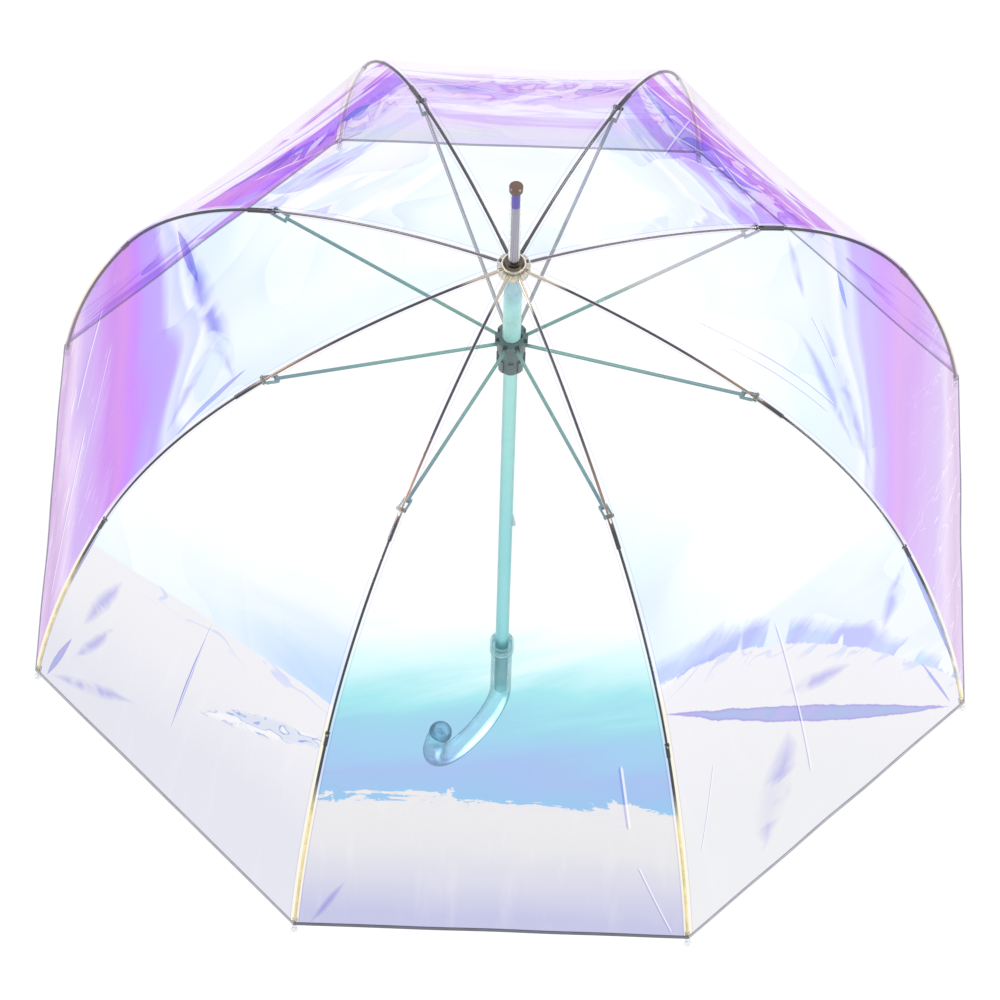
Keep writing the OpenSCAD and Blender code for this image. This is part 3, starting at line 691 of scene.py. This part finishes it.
for name, obj in frame["nodes"].items():
    look = OWN_LOOK.get(name) or LOOK.get(name) or LOOK[name.rsplit("_", 1)[0]]
    obj.data.materials.clear()
    obj.data.materials.append(look)


# ---------------------------------------------------------------- film pieces
# Each gore, seen from outside: where the neutral lower part begins (edge) and how strong the aqua glow
# over it is (glow), each as (middle, slope, curve) across the gore; how far up the glow reaches (climb)
# and how blue it is; how calm the film is, how laced its edge, how dark the painted reflection of the table
# in its neutral part is and how rich its coat; how much of a lilac crescent it has; and how far it lifts
# the colour scale (middle, slope).
Gore = namedtuple("Gore", "edge glow climb blue calm lace dusk rich crescent lift")
GORES = [Gore((0.430, 0.10, 0.0), (0.55, 0.1, 0.1), 0.20, 0.0, 1.0, 0.3, 0.2, 0.80, 0.0, (0.0, 0.8)),
         Gore((0.450, -0.10, 0.0), (0.70, 0.0, 0.1), 0.20, 0.0, 0.05, 0.4, 0.25, 0.92, 0.2, (0.045, 0.0)),
         Gore((0.470, 0.03, 0.0), (0.85, 0.0, 0.0), 0.20, 0.0, 0.1, 0.3, 0.3, 0.42, 0.0, (0.035, 0.0)),
         Gore((0.440, 0.12, 0.0), (0.65, 0.1, 0.1), 0.20, 0.0, 0.05, 0.4, 0.25, 1.0, 0.2, (0.03, 0.0)),
         Gore((0.425, -0.10, 0.0), (0.50, -0.1, 0.1), 0.20, 0.0, 1.0, 0.3, 0.2, 1.05, 0.0, (0.05, 0.0)),
         Gore((0.409, -0.21, 0.0), (0.34, 0.66, 0.30), 0.125, 1.0, 0.85, 1.0, 0.28, 0.75, 0.0, (0.0, 0.0)),
         Gore((0.475, 0.02, 0.0), (1.0, 0.0, 0.0), 0.185, 0.0, 1.0, 0.1, 1.0, 0.8, 0.0, (0.0, 0.0)),
         Gore((0.408, 0.75, 2.6), (0.22, -0.25, 0.20), 0.20, 0.4, 0.7, 0.8, 0.0, 0.75, 1.0, (0.0, 0.0))]
# Half widths over which a gore's glow and its colour turn vary
GLOW_HALF = 0.15
LIFT_HALF = 0.12
# Pressed marks, gore by gore: the two ends as (across, along the rib) and half the width, in metres.
MARKS = {
    1: {"blade": [((0.075, 0.30), (0.045, 0.315), 0.003)],
        "crease": [((-0.022, 0.15), (-0.056, 0.30), 0.0010), ((-0.040, 0.18), (-0.066, 0.29), 0.0008),
                   ((0.02, 0.27), (-0.02, 0.30), 0.0008)],
        "smear": [((0.022, 0.280), (-0.105, 0.348), 0.011), ((0.0, 0.255), (-0.085, 0.32), 0.009),
                  ((0.085, 0.24), (0.03, 0.262), 0.006)]},
    2: {"blade": [((0.030, 0.235), (0.012, 0.262), 0.009), ((0.100, 0.262), (0.045, 0.250), 0.004)],
        "crease": [((0.10, 0.268), (-0.09, 0.308), 0.0022), ((0.02, 0.20), (0.05, 0.28), 0.0008),
                   ((0.012, 0.262), (-0.06, 0.235), 0.0008)],
        "smear": [((0.04, 0.24), (-0.09, 0.25), 0.014), ((0.09, 0.23), (0.07, 0.19), 0.006)],
        "crinkle": [((0.105, 0.245), (-0.11, 0.262), 0.034)]},
    3: {"blade": [((-0.115, 0.20), (-0.125, 0.24), 0.005)],
        "crease": [((-0.11, 0.27), (0.11, 0.276), 0.0016), ((-0.05, 0.22), (0.09, 0.26), 0.0009),
                   ((-0.09, 0.25), (-0.01, 0.29), 0.0007)],
        "smear": [((-0.11, 0.24), (-0.02, 0.25), 0.014), ((0.02, 0.245), (0.11, 0.235), 0.014)],
        "crinkle": [((-0.125, 0.245), (0.125, 0.245), 0.036)]},
    4: {"blade": [((-0.060, 0.258), (-0.034, 0.266), 0.0090), ((-0.02, 0.268), (0.085, 0.296), 0.005)],
        "crease": [((-0.09, 0.278), (0.10, 0.318), 0.0034), ((-0.03, 0.225), (0.06, 0.275), 0.0014),
                   ((-0.07, 0.31), (0.03, 0.345), 0.0009)],
        "smear": [((-0.06, 0.245), (0.07, 0.285), 0.014)],
        "crinkle": [((-0.115, 0.240), (0.04, 0.262), 0.026)]},
    5: {"blade": [((0.066, 0.226), (0.108, 0.300), 0.0032), ((-0.102, 0.318), (-0.038, 0.290), 0.0050)],
        "crease": [((-0.100, 0.46), (-0.035, 0.53), 0.0022), ((0.00, 0.49), (0.13, 0.565), 0.0026),
                   ((-0.05, 0.43), (0.06, 0.50), 0.0010)],
        "smear": [((-0.110, 0.322), (0.080, 0.236), 0.015), ((-0.098, 0.318), (0.072, 0.240), 0.009),
                  ((0.02, 0.26), (0.10, 0.315), 0.008)]},
    6: {"blade": [((-0.130, 0.550), (-0.150, 0.622), 0.0030), ((-0.134, 0.42), (-0.153, 0.53), 0.0015),
                  ((-0.004, 0.425), (-0.008, 0.548), 0.0016)],
        "crease": [((-0.003, 0.408), (-0.008, 0.550), 0.0005)],
        "smear": [((-0.146, 0.616), (-0.050, 0.556), 0.0080), ((-0.092, 0.500), (-0.124, 0.572), 0.0060),
                  ((-0.096, 0.445), (-0.124, 0.525), 0.0080)],
        "crinkle": [((0.010, 0.502), (0.150, 0.408), 0.0105)]},
    7: {"crease": [((0.100, 0.43), (0.110, 0.50), 0.0012), ((0.118, 0.54), (0.150, 0.625), 0.0007)],
        "smear": [((-0.150, 0.628), (-0.12, 0.57), 0.004)]},
    8: {"blade": [((-0.132, 0.376), (0.149, 0.620), 0.0080), ((0.132, 0.400), (0.156, 0.570), 0.0030),
                  ((0.122, 0.535), (0.148, 0.615), 0.0014)],
        "crease": [((-0.002, 0.378), (-0.009, 0.560), 0.0009), ((-0.10, 0.46), (-0.135, 0.54), 0.0006)],
        "smear": [((-0.022, 0.490), (-0.076, 0.600), 0.0200), ((0.055, 0.478), (-0.022, 0.452), 0.0090),
                  ((0.13, 0.42), (0.09, 0.47), 0.010)]}}


# A distance that no pressed mark reaches
FAR = 9.0


def mark_field(mark, across, s):
    """For points of a gore: side distance over half width, place along the mark, and 1 if it is there."""
    if mark is None:
        return np.tile([FAR, FAR, 0.0], (len(s), 1))
    (a0, s0), (a1, s1), wide = mark
    half = math.hypot(a1 - a0, s1 - s0) / 2
    run, rise = np.array([a1 - a0, s1 - s0]) / (2 * half)
    x, y = across - (a0 + a1) / 2, s - (s0 + s1) / 2
    beside, along = (run * y - rise * x) / wide, (run * x + rise * y) / half
    return np.stack([beside, along, np.ones(len(s))], -1)


def gore_fields(number, a, s, seam):
    """What the film material reads on each point: a is its place across the gore, s its place along it."""
    gore = GORES[number - 1]
    same = np.ones(len(s))
    down = s - gore.edge[0] - gore.edge[1] * a - gore.edge[2] * a * a
    glow = np.clip(gore.glow[0] + gore.glow[1] * a / GLOW_HALF + gore.glow[2] * (a / GLOW_HALF) ** 2, 0, 1)
    lift = gore.lift[0] * np.clip(1 - (a / LIFT_HALF) ** 2, 0, 1) + gore.lift[1] * a
    fields = {"zone": np.stack([down, glow, same * gore.calm], -1),
              "trim": np.stack([seam, same * gore.lace, same * gore.dusk], -1),
              "tone": np.stack([same * gore.rich, same * gore.crescent, lift], -1),
              "reach": np.stack([same / gore.climb, same * gore.blue, same], -1)}
    for kind, (count, _) in MARK_KINDS.items():
        marks = MARKS[number].get(kind, []) + [None] * count
        for i in range(count):
            fields[f"{kind}_{i}"] = mark_field(marks[i], a, s)
    return fields


# Below 1, the film's columns of points stand closer toward the fold
CROWDING = 0.9


def film_piece(name, rib, s_values, columns):
    """One rib's film over a stretch of its length, out to the folds on both sides."""
    points, faces, uv, normals = [], [], [], []
    halves = []
    for side in (1, -1):
        u = np.linspace(0, 1, columns) ** CROWDING
        uu, ss = np.meshgrid(u, s_values)
        first = len(points)
        points += list(film_point(rib, side, uu, ss).reshape(-1, 3))
        normals += list(film_normal(rib, side, uu, ss).reshape(-1, 3))
        faces += grid_faces(len(s_values), columns, first, flip=(side > 0))
        half_width = profile(ss, FILM_OFFSET)[0] * math.sin(PITCH / 2)
        number = (rib + (1 if side > 0 else 0)) % RIBS or RIBS
        a, s, seam = (-side * half_width * (1 - uu)).ravel(), ss.ravel(), (half_width * uu).ravel()
        uv += list(np.stack([a + number, s], -1))
        halves.append(gore_fields(number, a, s, seam))
    obj = new_mesh(name, points, faces, [FILM])
    mesh = obj.data
    layer = mesh.uv_layers.new(name="film")
    index = np.empty(len(mesh.loops), np.int32)
    mesh.loops.foreach_get("vertex_index", index)
    layer.data.foreach_set("uv", np.asarray(uv, np.float32)[index].ravel())
    mesh.polygons.foreach_set("use_smooth", [True] * len(mesh.polygons))
    mesh.update()
    mesh.normals_split_custom_set_from_vertices([tuple(map(float, n)) for n in normals])
    for key in halves[0]:
        values = np.concatenate([half[key] for half in halves])
        field = mesh.attributes.new(key, "FLOAT_VECTOR", "POINT")
        field.data.foreach_set("vector", np.asarray(values, np.float32).ravel())
    return obj


# The film starts a little inside the rib roots.
FILM_TOP = -0.0038
COLUMNS = 26
BANDS = [("upper", FILM_TOP, REACH[1], 40), ("mid", REACH[1], REACH[2], 40),
         ("lower", REACH[2], REACH[3], 44)]
for rib in range(RIBS):
    number = rib + 1
    for band, start, end, rows in BANDS:
        piece = film_piece(f"film_{band}_{number}", rib, np.linspace(start, end, rows), COLUMNS)
        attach(piece, f"rib_{band}_{number}")
        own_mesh(piece)
        if band == "upper":
            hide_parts(f"canopy_panel_{number}")


# ---------------------------------------------------------------- hem tape
TAPE_HALF = 0.0005
TAPE_START, TAPE_END = REACH[3] - 0.0029, REACH[3] + 0.0002
TAPE_COLUMNS = 40


def hem_tape(name, rib):
    """A thin closed strip along the hem of one rib's film, with painted shade on the gore that faces front.
    """
    inner, outer = FILM_OFFSET - TAPE_HALF, FILM_OFFSET + TAPE_HALF
    corners = ((TAPE_START, outer), (TAPE_END, outer), (TAPE_END, inner), (TAPE_START, inner))
    across = np.linspace(0, 1, TAPE_COLUMNS)
    places = [(-1, u) for u in across[:0:-1]] + [(1, u) for u in across]
    points, faces = [], []
    for side, u in places:
        points += [film_point(rib, side, np.array([u]), np.array([s]), offset)[0] for s, offset in corners]
    for i in range(len(places) - 1):
        a, b = 4 * i, 4 * (i + 1)
        for j in range(4):
            k = (j + 1) % 4
            faces.append((a + j, a + k, b + k, b + j))
    last = 4 * (len(places) - 1)
    faces.append((3, 2, 1, 0))
    faces.append((last, last + 1, last + 2, last + 3))
    obj = new_mesh(name, points, faces, [TAPE, TAPE_PAINTED_SHADE])
    for polygon in obj.data.polygons:
        gore = rib + (1 if polygon.index // 4 >= TAPE_COLUMNS - 1 else 0)
        polygon.material_index = int(gore == FRONT_GORE)
    return obj


for rib in range(RIBS):
    number = rib + 1
    tape = hem_tape(f"hem_tape_{number}", rib)
    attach(tape, f"rib_lower_{number}")
    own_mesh(tape)


# ---------------------------------------------------------------- floor, light and camera
FLOOR_Z = -0.75
FLOOR_SIZE = 40


def floor_material():
    n = Nodes("pale_floor")
    at, _ = n.place()
    cloud = n.noise(at, 1.5, 2.0, 0.5)
    col = n.ramp(cloud, [(0.3, (0.93, 0.93, 0.935)), (0.7, (0.95, 0.95, 0.955))])
    base = n.add("ShaderNodeBsdfDiffuse", Color=col)
    glow = n.add("ShaderNodeEmission", Color=(1, 1, 1, 1), Strength=1.0)
    return n.out(n.add("ShaderNodeMixShader", i0=0.75, i1=base, i2=glow))


bpy.ops.mesh.primitive_plane_add(size=FLOOR_SIZE, location=(0, 0, FLOOR_Z))
floor = bpy.context.object
floor.name = "floor"
floor.data.materials.append(floor_material())

world = bpy.data.worlds.new("studio")
bpy.context.scene.world = world
world.use_nodes = True
tree = world.node_tree
tree.nodes.clear()
sky = tree.nodes.new("ShaderNodeBackground")
sky.inputs["Color"].default_value = (0.93, 0.95, 1.0, 1)
sky.inputs["Strength"].default_value = 1.05
world_end = tree.nodes.new("ShaderNodeOutputWorld")
tree.links.new(sky.outputs[0], world_end.inputs[0])

# The lamps look at the middle of the dome
DOME_MIDDLE = Vector((0, 0, 0.45))


def lamp(name, place, size, power, colour=(1, 1, 1)):
    light = bpy.data.lights.new(name, "AREA")
    light.shape = "RECTANGLE"
    light.size, light.size_y = size
    light.energy = power
    light.color = colour
    obj = bpy.data.objects.new(name, light)
    bpy.context.scene.collection.objects.link(obj)
    obj.location = place
    obj.rotation_euler = (DOME_MIDDLE - Vector(place)).to_track_quat("-Z", "Y").to_euler()


lamp("key", (-1.6, -1.9, 2.6), (1.4, 1.4), 38)
lamp("side", (2.2, 0.6, 1.2), (0.8, 1.8), 16, (0.96, 0.97, 1.0))
lamp("back", (-0.6, 2.2, 1.8), (1.8, 0.8), 14, (0.97, 0.95, 1.0))

# The camera's direction and roll, its distance from a point in the plane of the hem, and its lens in mm
AZIMUTH = math.radians(45.36)
ELEVATION = math.radians(59.04)
ROLL = math.radians(1.68)
DISTANCE = 4.456
TARGET = Vector((-0.0191, 0.0111, HEM_Z))
SENSOR, LENS = 36, 184.57
level = math.cos(ELEVATION)
away = Vector((math.sin(AZIMUTH) * level, -math.cos(AZIMUTH) * level, math.sin(ELEVATION)))
right = Vector((math.cos(AZIMUTH), math.sin(AZIMUTH), 0))
up = away.cross(right)
turned_right = math.cos(ROLL) * right + math.sin(ROLL) * up
turned_up = away.cross(turned_right)
camera = bpy.data.cameras.new("camera")
camera.sensor_width = SENSOR
camera.lens = LENS
camera.clip_end = 60
eye = bpy.data.objects.new("camera", camera)
bpy.context.scene.collection.objects.link(eye)
place = Matrix((turned_right, turned_up, away)).transposed().to_4x4()
place.translation = TARGET + DISTANCE * away
eye.matrix_world = place
bpy.context.scene.camera = eye
bpy.context.scene.view_settings.view_transform = "Standard"
